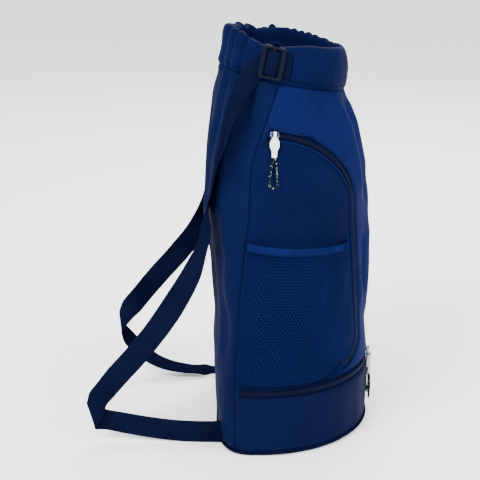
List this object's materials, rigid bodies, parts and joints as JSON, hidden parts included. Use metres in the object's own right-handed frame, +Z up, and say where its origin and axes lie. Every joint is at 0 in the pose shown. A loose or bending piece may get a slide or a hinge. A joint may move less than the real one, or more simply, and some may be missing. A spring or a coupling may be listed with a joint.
{
  "type": "racket backpack",
  "caption": "Soft bucket backpack for rackets: gathered collar, arched side zip pocket, mesh pockets, zipped shoe base and webbing straps.",
  "frame": {"origin": "on the floor under the bag, on its middle plane and below the rear half of the base", "axes": "+Z up, +X towards the front of the bag, away from the wearer; -Y is the wearer's left"},
  "size_m": [0.3191, 0.2686, 0.4426],
  "materials": {
    "body_cloth": "soft woven polyester",
    "base_cloth": "coated polyester",
    "board": "matt",
    "lining": "thin lining cloth",
    "webbing": "woven webbing",
    "mesh": "spacer mesh",
    "elastic_binding": "ribbed elastic",
    "zip_tape": "ribbed tape and nylon coil",
    "slider_metal": "painted",
    "pull_plastic": "moulded, satin",
    "pull_cord": "braided cord with a pale fleck",
    "buckle_plastic": "moulded, satin"
  },
  "bodies": {
    "bag": {"back_panel": "body_cloth", "front_panel": "body_cloth", "side_pocket_panel": "body_cloth", "right_side_panel": "body_cloth", "shoe_wall": "body_cloth", "base_panel": "base_cloth", "base_board": "board", "divider_floor": "lining", "side_pocket_lining": "lining", "collar_casing": "body_cloth", "cinch_webbing": "webbing", "left_mesh_pocket": "mesh", "right_mesh_pocket": "mesh", "left_pocket_binding": "elastic_binding", "right_pocket_binding": "elastic_binding", "side_zip_tape": "zip_tape", "side_zip_chain": "zip_tape", "side_zip_stops": "slider_metal", "shoe_zip_tape": "zip_tape", "shoe_zip_chain": "zip_tape", "shoe_zip_stops": "slider_metal", "left_shoulder_strap": "webbing", "right_shoulder_strap": "webbing", "left_strap_tab": "webbing", "right_strap_tab": "webbing"},
    "side_slider": {"side_zip_slider": "slider_metal"},
    "side_pull": {"side_zip_pull": "pull_plastic", "side_zip_cord": "pull_cord"},
    "left_shoe_slider": {"left_shoe_slider": "slider_metal"},
    "left_shoe_pull": {"left_shoe_pull": "pull_plastic", "left_shoe_cord": "pull_cord"},
    "right_shoe_slider": {"right_shoe_slider": "slider_metal"},
    "right_shoe_pull": {"right_shoe_pull": "pull_plastic", "right_shoe_cord": "pull_cord"},
    "left_buckle": {"left_buckle": "buckle_plastic", "left_buckle_wrap": "webbing"},
    "right_buckle": {"right_buckle": "buckle_plastic", "right_buckle_wrap": "webbing"},
    "left_strap_loop": {"left_strap_loop": "webbing"},
    "right_strap_loop": {"right_strap_loop": "webbing"}
  },
  "joints": [
    {"name": "side_zip_run", "type": "hinge", "parent": "bag", "child": "side_slider", "pos_m": [-0.02861, -0.05965, 0.26175], "axis": [0.0048, 0.8992, 0.4375], "range_deg": [0, 64]},
    {"name": "side_pull_swing", "type": "hinge", "parent": "side_slider", "child": "side_pull", "pos_m": [-0.0223, -0.10242, 0.34382], "axis": [-0.997, -0.0479, 0.0604], "range_deg": [0, 110]},
    {"name": "left_shoe_zip_run", "type": "hinge", "parent": "bag", "child": "left_shoe_slider", "pos_m": [-0.035, 0, 0.071], "axis": [0, 0, -1], "range_deg": [0, 80]},
    {"name": "left_shoe_pull_swing", "type": "hinge", "parent": "left_shoe_slider", "child": "left_shoe_pull", "pos_m": [0.09106, -0.00926, 0.071], "axis": [-0.0732, -0.9973, 0], "range_deg": [0, 120]},
    {"name": "right_shoe_zip_run", "type": "hinge", "parent": "bag", "child": "right_shoe_slider", "pos_m": [-0.035, 0, 0.071], "axis": [0, 0, 1], "range_deg": [0, 80]},
    {"name": "right_shoe_pull_swing", "type": "hinge", "parent": "right_shoe_slider", "child": "right_shoe_pull", "pos_m": [0.09106, 0.00926, 0.071], "axis": [0.0732, -0.9973, 0], "range_deg": [0, 120]},
    {"name": "left_buckle_slide", "type": "slide", "parent": "bag", "child": "left_buckle", "axis": [0.9519, -0.2322, -0.1999], "range_m": [0, 0.008]},
    {"name": "right_buckle_slide", "type": "slide", "parent": "bag", "child": "right_buckle", "axis": [0.9519, 0.2322, -0.1999], "range_m": [0, 0.008]},
    {"name": "left_strap_swing", "type": "hinge", "parent": "bag", "child": "left_strap_loop", "pos_m": [-0.0843, -0.09, 0.0129], "axis": [-0.032, -0.0087, 0.9995], "range_deg": [0, 38]},
    {"name": "right_strap_swing", "type": "hinge", "parent": "bag", "child": "right_strap_loop", "pos_m": [-0.0843, 0.09, 0.0074], "axis": [0.0313, -0.0084, -0.9995], "range_deg": [0, 38]}
  ]
}
